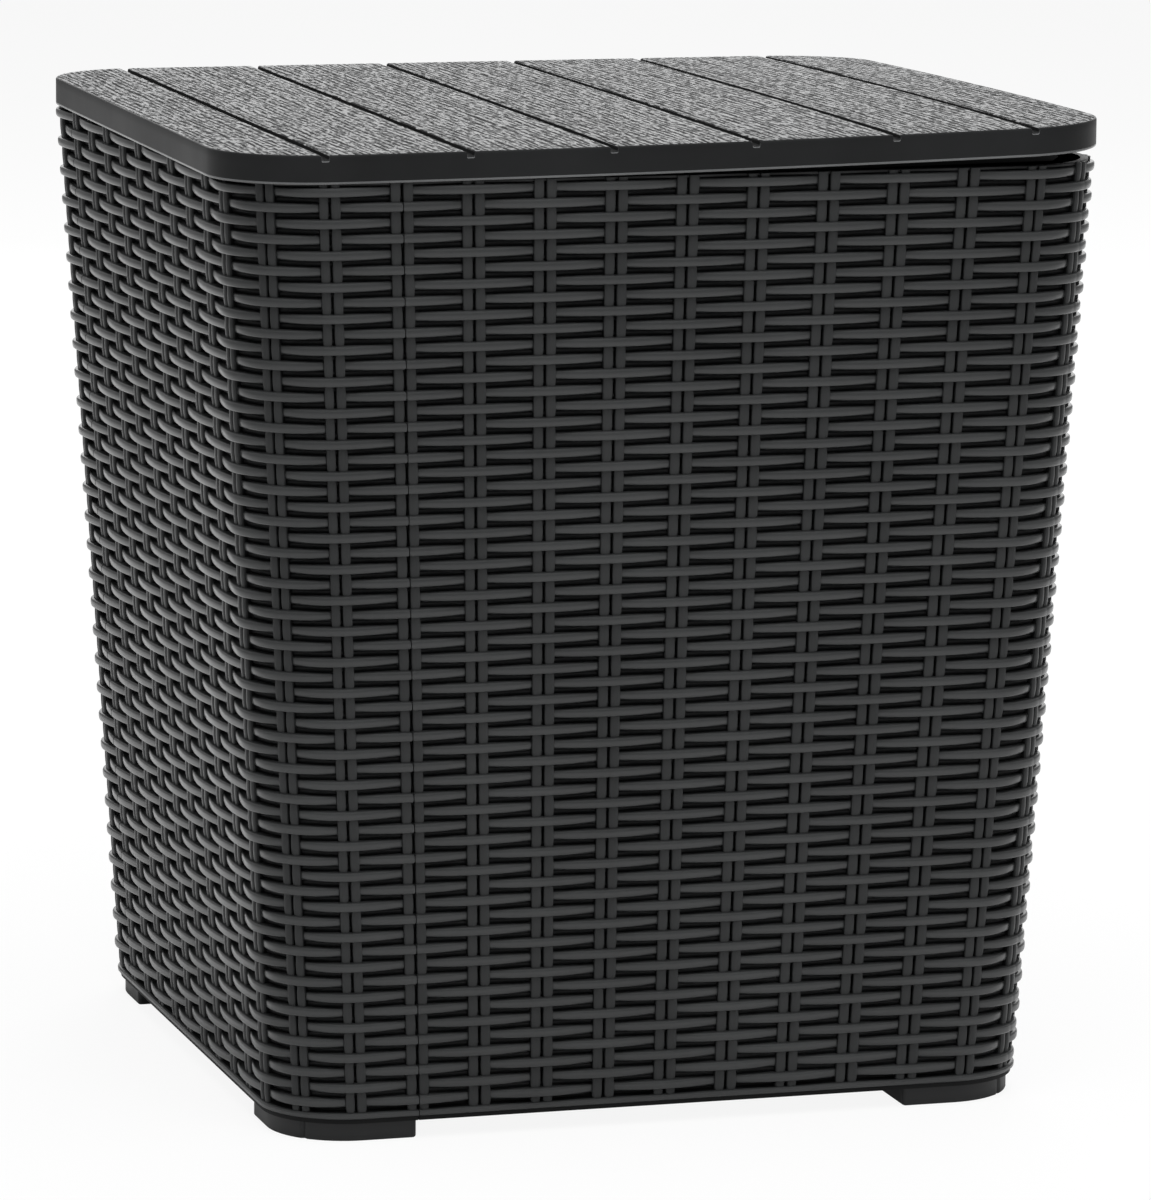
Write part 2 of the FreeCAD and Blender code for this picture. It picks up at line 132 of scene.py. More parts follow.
def add_node(tree, kind, inputs=(), **settings):
    """A shader node with its settings and the values of its inputs."""
    node = tree.nodes.new("ShaderNode" + kind)
    for name, value in settings.items():
        setattr(node, name, value)
    for name, value in dict(inputs).items():
        node.inputs[name].default_value = value
    return node


def new_group(name, inputs, outputs):
    """An empty shader node group with named sockets, and its two end nodes."""
    tree = bpy.data.node_groups.new(name, "ShaderNodeTree")
    for label, kind, value in inputs:
        tree.interface.new_socket(label, in_out="INPUT", socket_type=kind).default_value = value
    for label, kind in outputs:
        tree.interface.new_socket(label, in_out="OUTPUT", socket_type=kind)
    return tree, tree.nodes.new("NodeGroupInput"), tree.nodes.new("NodeGroupOutput")


def make_skin_group():
    """Fine grain for the bump, and soft patches for tone and gloss."""
    tree, given, made = new_group(
        "moulded_skin",
        [
            ("Grain", "NodeSocketFloat", 900.0),
            ("Stretch", "NodeSocketVector", (1.0, 1.0, 1.0)),
            ("Patches", "NodeSocketFloat", 14.0),
        ],
        [("Height", "NodeSocketFloat"), ("Tone", "NodeSocketFloat")],
    )
    place = add_node(tree, "TexCoord")
    stretch = add_node(tree, "VectorMath", operation="MULTIPLY")
    grain = add_node(tree, "TexNoise", {"Detail": 3.0, "Roughness": 0.6})
    patches = add_node(tree, "TexNoise", {"Detail": 4.0, "Roughness": 0.55})
    link = tree.links.new
    link(place.outputs["Object"], stretch.inputs[0])
    link(given.outputs["Stretch"], stretch.inputs[1])
    link(stretch.outputs[0], grain.inputs["Vector"])
    link(given.outputs["Grain"], grain.inputs["Scale"])
    link(place.outputs["Object"], patches.inputs["Vector"])
    link(given.outputs["Patches"], patches.inputs["Scale"])
    link(grain.outputs["Fac"], made.inputs["Height"])
    link(patches.outputs["Fac"], made.inputs["Tone"])
    return tree


SKIN = make_skin_group()
print("group:", SKIN.name)

# %% [markdown]
# ## Woven resin
# The walls are one dark grey resin, but each part of the weave takes the light in its own way.
# Strands are the smoothest and have a thin clear sheen, and stakes are duller. Strands and stakes
# have faint lines along them from the mould, so their grain is stretched: along the level for strands,
# upright for stakes. The shell behind them and the inside have an even grain. The shell, its rim and
# the foot get a darker tone than the strands, and the recesses a nearly black one: painted shade, so
# that the gaps stay dark. One material for all would be simpler, but then the gaps would be as light
# as the strands.

# %% Resin on a skin
PATCH_RANGE = (0.3, 0.7)
COAT_ROUGHNESS = 0.1


def new_material(name, **inputs):
    """A material with one Principled shader and the plain values of its sockets."""
    material = bpy.data.materials.new(name)
    material.use_nodes = True
    shader = material.node_tree.nodes["Principled BSDF"]
    for label, value in inputs.items():
        shader.inputs[label.replace("_", " ")].default_value = value
    return material, material.node_tree, shader


def place_group(tree, group, inputs=()):
    node = tree.nodes.new("ShaderNodeGroup")
    node.node_tree = group
    for name, value in dict(inputs).items():
        node.inputs[name].default_value = value
    return node


def colour_ramp(tree, stops):
    """A ramp from (position, grey or colour) stops."""
    stops = list(stops)
    ramp = tree.nodes.new("ShaderNodeValToRGB")
    elements = ramp.color_ramp.elements
    while len(elements) < len(stops):
        elements.new(0.5)
    for element, (position, tone) in zip(elements, stops):
        element.position = position
        element.color = (*tone, 1) if isinstance(tone, tuple) else (tone, tone, tone, 1)
    return ramp


def dress(tree, shader, skin, tones, gloss, bump_mm):
    """Joins a skin to a shader: tone to colour, patches to roughness, grain to bump."""
    colour = colour_ramp(tree, zip(PATCH_RANGE, tones))
    rough = add_node(tree, "MapRange", {"To Min": gloss[0], "To Max": gloss[1]})
    rough.inputs["From Min"].default_value, rough.inputs["From Max"].default_value = PATCH_RANGE
    bump = add_node(tree, "Bump", {"Strength": 1.0, "Distance": bump_mm * MM})
    link = tree.links.new
    link(skin.outputs["Tone"], colour.inputs["Fac"])
    link(skin.outputs["Tone"], rough.inputs["Value"])
    link(skin.outputs["Height"], bump.inputs["Height"])
    link(colour.outputs["Color"], shader.inputs["Base Color"])
    link(rough.outputs["Result"], shader.inputs["Roughness"])
    link(bump.outputs["Normal"], shader.inputs["Normal"])


def make_resin(name, stretch, tones, grain, gloss, bump_mm, specular=0.4, coat=0.0):
    """A dark resin: stretch of its skin, tones, grains per metre, roughness range, bump and shine."""
    material, tree, shader = new_material(
        name, Specular_IOR_Level=specular, Coat_Weight=coat, Coat_Roughness=COAT_ROUGHNESS
    )
    skin = place_group(tree, SKIN, {"Grain": grain, "Stretch": stretch})
    dress(tree, shader, skin, tones, gloss, bump_mm)
    return material


# %% Woven resins
EVEN = (1.0, 1.0, 1.0)
LEVEL = (0.06, 0.06, 1.0)
UPRIGHT = (1.0, 1.0, 0.06)
STRAND_TONES = ((0.026, 0.027, 0.0275), (0.036, 0.0375, 0.038))
STAKE_TONES = ((0.026, 0.027, 0.0275), (0.034, 0.035, 0.0355))
# Painted shade: the shell tone is darker than the strands' resin, for the backing seen in the gaps, the
# rim and the foot.
SHELL_SHADE_TONES = ((0.011, 0.0115, 0.012), (0.016, 0.0165, 0.017))
# Painted shade: nearly black, for the backs of the gaps, the stakes' webs, the strands' backs, the
# strip's undercut and the lid's grooves.
RECESS_SHADE_TONES = ((0.004, 0.0042, 0.0044), (0.007, 0.0072, 0.0074))
INNER_TONES = ((0.032, 0.033, 0.0335), (0.046, 0.0475, 0.048))
STRAND_RESIN = make_resin(
    "strand_resin", LEVEL, STRAND_TONES,
    grain=1500.0, gloss=(0.28, 0.38), bump_mm=0.02, specular=0.3, coat=0.25,
)
STAKE_RESIN = make_resin(
    "stake_resin", UPRIGHT, STAKE_TONES,
    grain=1500.0, gloss=(0.30, 0.40), bump_mm=0.02, specular=0.15,
)
SHELL_SHADE_RESIN = make_resin(
    "shell_painted_shade", EVEN, SHELL_SHADE_TONES,
    grain=1200.0, gloss=(0.38, 0.48), bump_mm=0.02, specular=0.3,
)
RECESS_SHADE_RESIN = make_resin(
    "recess_painted_shade", EVEN, RECESS_SHADE_TONES,
    grain=900.0, gloss=(0.6, 0.7), bump_mm=0.05, specular=0.15,
)
INNER_RESIN = make_resin(
    "inner_resin", EVEN, INNER_TONES,
    grain=900.0, gloss=(0.50, 0.60), bump_mm=0.04,
)
WALL_RESINS = [SHELL_SHADE_RESIN, RECESS_SHADE_RESIN, STRAND_RESIN, INNER_RESIN]
SHELL_SHADE_SLOT, RECESS_SHADE_SLOT, STRIP_SLOT, INNER_SLOT = range(len(WALL_RESINS))
print("woven resins:", STAKE_RESIN.name, *(resin.name for resin in WALL_RESINS))

# %% [markdown]
# ## Lid resin
# The deck has a wood grain moulded into it: wavy lines along each plank, broken into dashes, with
# fine flecks between, and no two planks alike. It could be carved into the mesh, but at a fraction of
# a millimetre a bump shows the same at far less cost. The lines are a wave texture and the breaks are
# noise, both drawn out along the plank. Between the grain marks the deck takes a far lighter tone than
# the band of the same moulding: painted light on the top, with painted shade on the band. The side
# band is smooth and satin. Its lower edge and the grooves' front ends carry a painted highlight, and
# the grooves are painted dark as shade.

# %% Plank places
PLANKS = 7
EDGE_PLANK = 45.0
PLANK_PITCH = 2 * (LID_HALF - EDGE_PLANK) / (PLANKS - 2)
PLANK_JUMP = (1.0, 3.0, 0.0)


def plank_places(tree):
    """Places on the deck, moved by chance from plank to plank."""
    place = add_node(tree, "TexCoord")
    apart = add_node(tree, "SeparateXYZ")
    shift = add_node(tree, "MapRange", {"From Max": PLANK_PITCH * MM, "To Max": 1.0}, clamp=False)
    centred = add_node(tree, "Math", {1: 0.5}, operation="ADD")
    plank = add_node(tree, "Math", operation="FLOOR")
    chance = add_node(tree, "TexWhiteNoise", noise_dimensions="1D")
    jump = add_node(tree, "VectorMath", {1: PLANK_JUMP}, operation="MULTIPLY")
    moved = add_node(tree, "VectorMath", operation="ADD")
    link = tree.links.new
    link(place.outputs["Object"], apart.inputs[0])
    link(apart.outputs["X"], shift.inputs["Value"])
    link(shift.outputs["Result"], centred.inputs[0])
    link(centred.outputs[0], plank.inputs[0])
    link(plank.outputs[0], chance.inputs["W"])
    link(chance.outputs["Color"], jump.inputs[0])
    link(place.outputs["Object"], moved.inputs[0])
    link(jump.outputs[0], moved.inputs[1])
    return moved.outputs[0]


print(f"planks: {PLANKS}, {PLANK_PITCH:.1f} apart")

# %% Deck resin
WAVE = {"Scale": 1.0, "Distortion": 7.0, "Detail": 2.0, "Detail Scale": 1.0}
NOISE = {"Scale": 1.0, "Detail": 1.0, "Roughness": 0.65, "Distortion": 0.2}
LINES = ("TexWave", (95.0, 10.0, 1.0), WAVE, [(0.25, 0.0), (0.50, 1.0)])
BREAKS = ("TexNoise", (420.0, 115.0, 1.0), NOISE, [(0.50, 0.0), (0.60, 1.0)])
FLECKS = ("TexNoise", (560.0, 180.0, 1.0), NOISE, [(0.40, 0.35), (0.54, 1.0)])
# The dark end marks the real grain; the light end, far lighter than the band's tone, is painted light on
# the top.
DECK_GRAIN_AND_LIGHT_TONES = [(0.0, (0.006, 0.0062, 0.0064)), (1.0, (0.155, 0.157, 0.158))]
DECK_GLOSS = {"To Min": 0.75, "To Max": 0.36}
DECK_BUMP = 0.35


def grain_layer(tree, place, kind, spread, values, stops):
    """One texture of the grain, drawn out along the planks: 0 in its marks and 1 between them."""
    drawn = add_node(tree, "VectorMath", {1: spread}, operation="MULTIPLY")
    texture = add_node(tree, kind, values)
    mask = colour_ramp(tree, stops)
    tree.links.new(place, drawn.inputs[0])
    tree.links.new(drawn.outputs[0], texture.inputs["Vector"])
    tree.links.new(texture.outputs["Fac"], mask.inputs["Fac"])
    return mask.outputs["Color"]


def make_deck_resin():
    material, tree, shader = new_material("deck_resin", Specular_IOR_Level=0.4)
    place = plank_places(tree)
    dashes = add_node(tree, "Math", operation="MAXIMUM")
    grain = add_node(tree, "Math", operation="MULTIPLY")
    colour = colour_ramp(tree, DECK_GRAIN_AND_LIGHT_TONES)
    rough = add_node(tree, "MapRange", DECK_GLOSS)
    bump = add_node(tree, "Bump", {"Strength": 1.0, "Distance": DECK_BUMP * MM})
    link = tree.links.new
    link(grain_layer(tree, place, *LINES), dashes.inputs[0])
    link(grain_layer(tree, place, *BREAKS), dashes.inputs[1])
    link(dashes.outputs[0], grain.inputs[0])
    link(grain_layer(tree, place, *FLECKS), grain.inputs[1])
    for target in (colour.inputs["Fac"], rough.inputs["Value"], bump.inputs["Height"]):
        link(grain.outputs[0], target)
    link(colour.outputs["Color"], shader.inputs["Base Color"])
    link(rough.outputs["Result"], shader.inputs["Roughness"])
    link(bump.outputs["Normal"], shader.inputs["Normal"])
    return material


DECK_RESIN = make_deck_resin()
# Painted shade: the band, the lid's underside, its lips and its ribs are darker than the deck and the
# strands.
BAND_SHADE_TONES = ((0.011, 0.0115, 0.0118), (0.0155, 0.0161, 0.0167))
# Painted highlight: a light tone on the band's lower edge and on the notches where the grooves run out.
EDGE_HIGHLIGHT_TONES = ((0.09, 0.092, 0.093), (0.13, 0.133, 0.135))
BAND_RESIN = make_resin(
    "band_resin", EVEN, BAND_SHADE_TONES,
    grain=1400.0, gloss=(0.34, 0.42), bump_mm=0.006, specular=0.15,
)
EDGE_HIGHLIGHT_RESIN = make_resin(
    "painted_edge_highlight", EVEN, EDGE_HIGHLIGHT_TONES,
    grain=1400.0, gloss=(0.20, 0.30), bump_mm=0.006,
)
LID_RESINS = [DECK_RESIN, BAND_RESIN, RECESS_SHADE_RESIN, EDGE_HIGHLIGHT_RESIN]
DECK_SLOT, BAND_SLOT, GROOVE_SHADE_SLOT, EDGE_HIGHLIGHT_SLOT = range(len(LID_RESINS))
print("lid resins:", *(resin.name for resin in LID_RESINS))

# %% [markdown]
# ## Mesh tools
# A strand, a stake, a rib or a wall is a section carried along a line. A curve with a bevel could do
# that, but it can't change its section on the way. So each is a stack of rings, joined by quads and
# closed at both ends.

# %% Bars


def bar_faces(corner):
    """Quads round each bar's rings and a cap at each end, from point numbers[bar, ring, side]."""
    low = corner[:, :-1]
    high = corner[:, 1:]
    quads = np.stack([low, np.roll(low, -1, 2), np.roll(high, -1, 2), high], axis=-1).reshape(-1, 4)
    caps = np.concatenate([corner[:, 0, ::-1], corner[:, -1]])
    return quads.tolist(), caps.tolist()


def bar_mesh(name, bar_sets, materials, sharp=40.0):
    """One mesh of closed bars. A set is (points[bar, ring, side], material number of each side)."""
    points = []
    faces = []
    slots = []
    start = 0
    for bars, slot in bar_sets:
        bars = np.asarray(bars, float)
        count, rings, sides, _ = bars.shape
        corner = np.arange(count * rings * sides).reshape(count, rings, sides) + start
        quads, caps = bar_faces(corner)
        faces += quads + caps
        side_slots = np.broadcast_to(slot, (count, rings - 1, sides))
        slots += side_slots.ravel().tolist() + [int(side_slots[0, 0, 0])] * len(caps)
        points.append(bars.reshape(-1, 3))
        start += corner.size
    return finish_mesh(name, np.concatenate(points), faces, slots, materials, sharp)


def finish_mesh(name, points, faces, slots, materials, sharp):
    """A smooth-shaded mesh in metres, with faces turned outward and edges past an angle kept sharp."""
    mesh = bpy.data.meshes.new(name)
    mesh.from_pydata((points * MM).tolist(), [], faces)
    mesh.polygons.foreach_set("material_index", slots)
    for material in materials:
        mesh.materials.append(material)
    work = bmesh.new()
    work.from_mesh(mesh)
    bmesh.ops.recalc_face_normals(work, faces=work.faces)
    work.to_mesh(mesh)
    work.free()
    mesh.polygons.foreach_set("use_smooth", [True] * len(mesh.polygons))
    mesh.set_sharp_from_angle(angle=math.radians(sharp))
    return mesh


print("mesh tools: bars of rings, and meshes with sharp edges kept")

# %% [markdown]
# ## The walls' plan
# Seen from above the walls are a square with round corners, smaller at each lower level. A place on
# them is told by three numbers: how many stake pairs along it lies, counted from the front left
# corner, its level, and its depth behind the strands' crowns. The weave is then drawn flat and bent
# round the corners by one function. The pairs near a corner drift a little from an even spacing.

# %% Plan of the walls
PAIRS = 12
CORE = TOP_HALF - CORNER_RADIUS
ARC = CORNER_RADIUS * math.pi / 2
PITCH = (2 * CORE + ARC) / PAIRS
DRIFT_PAIRS = [0, 1, 2, 3, 11, 12]
DRIFT = [0.0, -1.5, -1.0, -1.0, 2.2, 0.0]
CROWN_PROUD = 0.25
INNER_DEPTH = CROWN_PROUD + WALL_DEPTH
CORNER_START = -0.75 * math.pi


def shrink_at(level):
    return half_at(level) / TOP_HALF


def wall_point(pair, level, depth):
    """Points of the walls from stake pair, level and depth, as arrays that fit each other."""
    pair, level, depth = np.broadcast_arrays(np.asarray(pair, float), level, depth)
    side, along = np.divmod(pair, PAIRS)
    along = along * PITCH + np.interp(along, DRIFT_PAIRS, DRIFT)
    flat = np.clip(along - ARC / 2, 0, 2 * CORE)
    angle = CORNER_START + (along - flat) / CORNER_RADIUS
    shrink = shrink_at(level)
    reach = CORNER_RADIUS * shrink + CROWN_PROUD - depth
    x = (flat - CORE) * shrink + reach * np.cos(angle)
    y = -CORE * shrink + reach * np.sin(angle)
    sine, cosine = np.sin(side * math.pi / 2), np.cos(side * math.pi / 2)
    return np.stack([x * cosine - y * sine, x * sine + y * cosine, level], axis=-1)


low_pitch = PITCH * shrink_at(WALL_BOTTOM)
print(f"stake pairs {PITCH:.2f} apart at the top, {low_pitch:.2f} at the bottom")

# %% [markdown]
# ## Strands
# Sixty level rows of flat strands. Each strand runs over one pair of stakes and ends at the stakes on
# either side, swelling forward in the middle. The next row is one pair further along. A texture could
# fake this, but the outline and the deep gaps need real relief, so every strand is a bar of its own.
# Its section lies between an ellipse and a box, and its ends are a little drawn in.

# %% Strand section
STRAND_HALF = 2.2
STRAND_DEEP = 1.5
STRAND_ARC = 9
SECTION_POWER = 3.0


def blunt(wave):
    """Squares up a circle's sine or cosine, for a section between an ellipse and a box."""
    return np.sign(wave) * np.abs(wave) ** (2 / SECTION_POWER)


def rounded_front(steps):
    """The front half of a section: shares of its half width, and of its depth behind the crown."""
    turn = np.linspace(-math.pi / 2, math.pi / 2, steps)
    return blunt(np.sin(turn)), 1 - blunt(np.cos(turn))


FRONT_UP, FRONT_BACK = rounded_front(STRAND_ARC)
print(f"strand section: {STRAND_ARC} points, {2 * STRAND_HALF:.1f} high")

# %% Strands
ROWS = 60
FIRST_ROW = WALL_TOP - 3.5
LAST_ROW = WALL_BOTTOM + 9.2
ROW_PITCH = (FIRST_ROW - LAST_ROW) / (ROWS - 1)
SEAM_PAIR = 2
PAIR_HALF = 5.35
TUCK_GAP = -0.4
STRAND_DIVE = 4.6
DIVE_POWER = 2.0
BACK_DEPTH = 6.2
WEB_DEPTH = BACK_DEPTH + 0.4
END_RINGS = [0.0, 0.008, 0.022]
RUN_RINGS = [0.07, 0.13, 0.19, 0.25, 0.31, 0.37, 0.43, 0.488]
HALF_RINGS = END_RINGS + RUN_RINGS
RINGS = np.array(HALF_RINGS + [0.5] + [1 - t for t in reversed(HALF_RINGS)])
END_SIZES = [0.96, 0.99, 1.0]
SEAM_END_SIZES = [0.84, 0.96, 1.0]
CREASE = 0.985
PARTING_CREASE = 0.93


def strand(pair, start, end, level, sizes):
    """One strand over a stake pair: rings from start to end, deepest there, with its back in the wall."""
    place = start + (end - start) * RINGS
    dive = np.abs(place - pair) ** DIVE_POWER
    half_height = STRAND_HALF * sizes
    crown = STRAND_DIVE * dive + STRAND_DEEP * (1 - sizes)
    front = crown[:, None] + STRAND_DEEP * FRONT_BACK
    depth = np.concatenate([front, np.full((len(place), 2), WEB_DEPTH)], axis=1)
    up = np.concatenate([FRONT_UP, [1, -1]])
    return wall_point(place[:, None], level + half_height[:, None] * up, depth)


def strand_sizes(first, last, crease):
    """The size of each ring as a share: two ends, and a faint crease in the middle."""
    middle = [1.0] * len(RUN_RINGS)
    return np.array(first + middle + [crease] + middle + last[::-1])


def strands_of_wall():
    bars = []
    last_pair = SEAM_PAIR + PAIRS
    for row in range(ROWS):
        level = FIRST_ROW - ROW_PITCH * row
        pitch = PITCH * shrink_at(level)
        tuck = (PAIR_HALF + TUCK_GAP) / pitch
        edge = SEAM_GAP / 2 / pitch
        for pair in range(SEAM_PAIR, last_pair + 1):
            if (pair + row) % 2 == 0:
                continue
            start = pair + edge if pair == SEAM_PAIR else pair - 1 + tuck
            end = pair - edge if pair == last_pair else pair + 1 - tuck
            crease = PARTING_CREASE if pair == PAIRS else CREASE
            if pair in (SEAM_PAIR, last_pair):
                crease = 1.0
            first = SEAM_END_SIZES if pair == SEAM_PAIR else END_SIZES
            last = SEAM_END_SIZES if pair == last_pair else END_SIZES
            bars.append(strand(pair, start, end, level, strand_sizes(first, last, crease)))
    return bars


STRAND_RESINS = [STRAND_RESIN, RECESS_SHADE_RESIN]
# The strand's back face, against the wall, takes the recess tone: painted shade.
strand_slots = [0] * (STRAND_ARC - 1) + [0, 1, 0]
strand_mesh = bar_mesh("strands", [(strands_of_wall(), strand_slots)], STRAND_RESINS)
print("strands of a wall:", len(strand_mesh.polygons), "faces")

# %% [markdown]
# ## Stakes
# Upright rods in pairs, which the strands weave round. Each swells a little where it lies free and
# draws back where a strand covers it, so its section changes from ring to ring: a plain cylinder
# would look machined. A web joins it to the wall behind, and its lower end is a rounded tip on the
# bottom strip.

# %% Stakes
STAKE_SPREAD = 3.0
STAKE_HALF = 2.35
STAKE_SWELL = 0.12
STAKE_DEEP = 1.5
STAKE_FRONT = 1.9
STAKE_WAVE = 0.15
STAKE_TOP = WALL_TOP + 0.4
STAKE_BOTTOM = WALL_BOTTOM + 2.9
STAKE_STEP = ROW_PITCH / 4
STAKE_ARC = 7
TIP_HEIGHTS = [0.0, 0.5, 1.3]
TIP_SIZES = [0.45, 0.80, 0.97]


def stake(pair, side):
    """One stake of a pair, from its tip to the rim."""
    tip = [STAKE_BOTTOM + height for height in TIP_HEIGHTS]
    level = np.concatenate([tip, np.arange(tip[-1] + STAKE_STEP, STAKE_TOP, STAKE_STEP), [STAKE_TOP]])
    size = np.ones(len(level))
    size[:len(tip)] = TIP_SIZES
    wave = np.cos(math.pi * ((FIRST_ROW - level) / ROW_PITCH + pair + 1))
    half = (STAKE_HALF - STAKE_SWELL * wave) * size
    front = STAKE_FRONT + STAKE_WAVE * wave + STAKE_HALF * (1 - size)
    side_share, back_share = rounded_front(STAKE_ARC)
    across = half[:, None] * np.concatenate([side_share, [1, -1]])
    face = front[:, None] + STAKE_DEEP * back_share
    depth = np.concatenate([face, np.full((len(level), 2), WEB_DEPTH)], axis=1)
    place = pair + (side * STAKE_SPREAD + across) / (PITCH * shrink_at(level))[:, None]
    return wall_point(place, level[:, None], depth)


def stakes_of_wall():
    """The stakes between two seams: one of the first pair, all of the next ones, one of the last."""
    bars = [stake(SEAM_PAIR, 1)]
    for pair in range(SEAM_PAIR + 1, SEAM_PAIR + PAIRS):
        bars += [stake(pair, -1), stake(pair, 1)]
    return bars + [stake(SEAM_PAIR + PAIRS, -1)]


STAKE_RESINS = [STAKE_RESIN, RECESS_SHADE_RESIN]
# The web's two sides and its back take the recess tone: painted shade on the stake's flanks.
stake_slots = [0] * (STAKE_ARC - 1) + [1, 1, 1]
stake_mesh = bar_mesh("stakes", [(stakes_of_wall(), stake_slots)], STAKE_RESINS)
print("stakes of a wall:", len(stake_mesh.polygons), "faces")

# %% [markdown]
# ## Shell, tongue, ledge and foot
# Behind the weave is a thin wall with a low ridge in each gap, a rim at the top and a strip at the
# bottom. It could be a plain sheet, but the ridges show between the strands. So it is one outline of
# depth and level, carried round the plan. The tongue that laps behind the next wall, the ledge that
# holds the floor and the corner foot are moulded on, so they share the wall's mesh.

# %% Shell
SHELL_STEPS = 6 * PAIRS
RIDGE = 1.3
RIDGE_SHAPE = [(-2.0, 0.0), (-1.0, 0.7), (0.0, 1.0), (1.0, 0.7), (2.0, 0.0)]
FOOT_INSET = 4.2
UNDERCUT = CROWN_PROUD + FOOT_INSET
STRIP_GROOVE = [(-1.0, UNDERCUT), (-1.0, 2.2), (1.2, 2.0)]
STRIP_FACE = [(1.4, 1.2), (1.8, 0.8), (3.2, 0.8), (4.0, 1.4), (4.4, 2.4)]
STRIP = STRIP_GROOVE + STRIP_FACE + [(4.6, 4.0), (4.9, BACK_DEPTH)]
RIM_FRONT = 3.7
RIM_EASE = 0.3
RIM_TOP = 0.6
RIM_BACK = [(-1.3, BACK_DEPTH), (-0.9, RIM_FRONT + RIM_EASE)]
RIM = RIM_BACK + [(-0.6, RIM_FRONT), (0.3, RIM_FRONT), (RIM_TOP, RIM_FRONT + RIM_EASE)]


def shell_section():
    """Depth and level of the shell's outline, up its outer side and down its inner side."""
    outline = [(depth, WALL_BOTTOM + height) for height, depth in STRIP]
    for gap in reversed(range(ROWS - 1)):
        middle = FIRST_ROW - ROW_PITCH * (gap + 0.5)
        outline += [(BACK_DEPTH - RIDGE * share, middle + height) for height, share in RIDGE_SHAPE]
    outline += [(depth, WALL_TOP + height) for height, depth in RIM]
    return np.array(outline + [(INNER_DEPTH, WALL_TOP + RIM_TOP), (INNER_DEPTH, WALL_BOTTOM)])


def swept(section_points, places):
    """A closed outline of depth and level, carried along the walls."""
    depth, level = section_points.T
    return wall_point(np.asarray(places)[:, None], level[None], depth[None])[None]


def along_face(distance, level=WALL_TOP):
    """A distance along the walls as a number of stake pairs."""
    return distance / (PITCH * shrink_at(level))


def block(depths, levels):
    """A rectangle of depth and level, as an outline to carry."""
    (near, far), (low, high) = depths, levels
    return np.array([(near, low), (near, high), (far, high), (far, low)])


seam_edge = along_face(SEAM_GAP / 2)
wall_start = SEAM_PAIR + seam_edge
wall_end = SEAM_PAIR + PAIRS - seam_edge
shell = swept(shell_section(), np.linspace(wall_start, wall_end, SHELL_STEPS + 1))
# The shell's outline gets its tones: the nearly black recess tone up its outer side, painted shade; the
# strands' tone on the strip's face; the darker shell tone, also painted shade, on the rim; and the inner
# tone on its inner side.
shell_slots = np.full(shell.shape[2], SHELL_SHADE_SLOT)
shell_slots[:-len(RIM) - 2] = RECESS_SHADE_SLOT
shell_slots[len(STRIP_GROOVE):len(STRIP_GROOVE) + len(STRIP_FACE) - 1] = STRIP_SLOT
shell_slots[-2] = INNER_SLOT
# The two faces round each ridge's crest take the shell tone, lighter than the recess round them: a
# painted band of light across the middle of each gap.
ridge_sides = shell_slots[len(STRIP):len(STRIP) + len(RIDGE_SHAPE) * (ROWS - 1)]
ridge_sides.reshape(-1, len(RIDGE_SHAPE))[:, 1:3] = SHELL_SHADE_SLOT
print("shell outline:", shell.shape[2], "points")

# %% Tongue and ledge
TONGUE_LENGTH = 14.0
TONGUE_ROOT = 12.0
TONGUE_GAP = 0.3
TONGUE_THICK = 2.5
LEDGE_WIDTH = 12.0
LEDGE_THICK = 3.0
LEDGE_END_GAP = 1.5
SUNK = 0.2

tongue_inner = INNER_DEPTH + TONGUE_GAP + TONGUE_THICK
wall_levels = (WALL_BOTTOM, WALL_TOP)
free_part = block((INNER_DEPTH + TONGUE_GAP, tongue_inner), wall_levels)
root_part = block((INNER_DEPTH - SUNK, tongue_inner), wall_levels)
tongue = np.concatenate(
    [
        swept(free_part, [SEAM_PAIR - along_face(TONGUE_LENGTH), wall_start]),
        swept(root_part, [wall_start, SEAM_PAIR + along_face(TONGUE_ROOT)]),
    ],
    axis=1,
)
ledge_levels = (WALL_BOTTOM, WALL_BOTTOM + LEDGE_THICK)
ledge_start = SEAM_PAIR + along_face(TONGUE_ROOT / 2, WALL_BOTTOM)
ledge_end = SEAM_PAIR + PAIRS - along_face(TONGUE_LENGTH + LEDGE_END_GAP, WALL_BOTTOM)
ledge_section = block((INNER_DEPTH - SUNK, INNER_DEPTH + LEDGE_WIDTH), ledge_levels)
ledge = swept(ledge_section, np.linspace(ledge_start, ledge_end, SHELL_STEPS + 1))
print("tongue:", tongue.shape[1], "rings; ledge:", ledge.shape[1], "rings")

# %% Foot
FOOT_SIZE = 64.0
FOOT_EDGE = 2.0
FOOT_SUNK = 0.3
FOOT_RINGS = [(0.0, 1.0), (0.3, 0.35), (1.0, 0.0), (WALL_BOTTOM + FOOT_SUNK, 0.0)]
PARTING_WIDTH = 0.03
PARTING_DEPTH = 1.0
CORNER_STEPS = 16


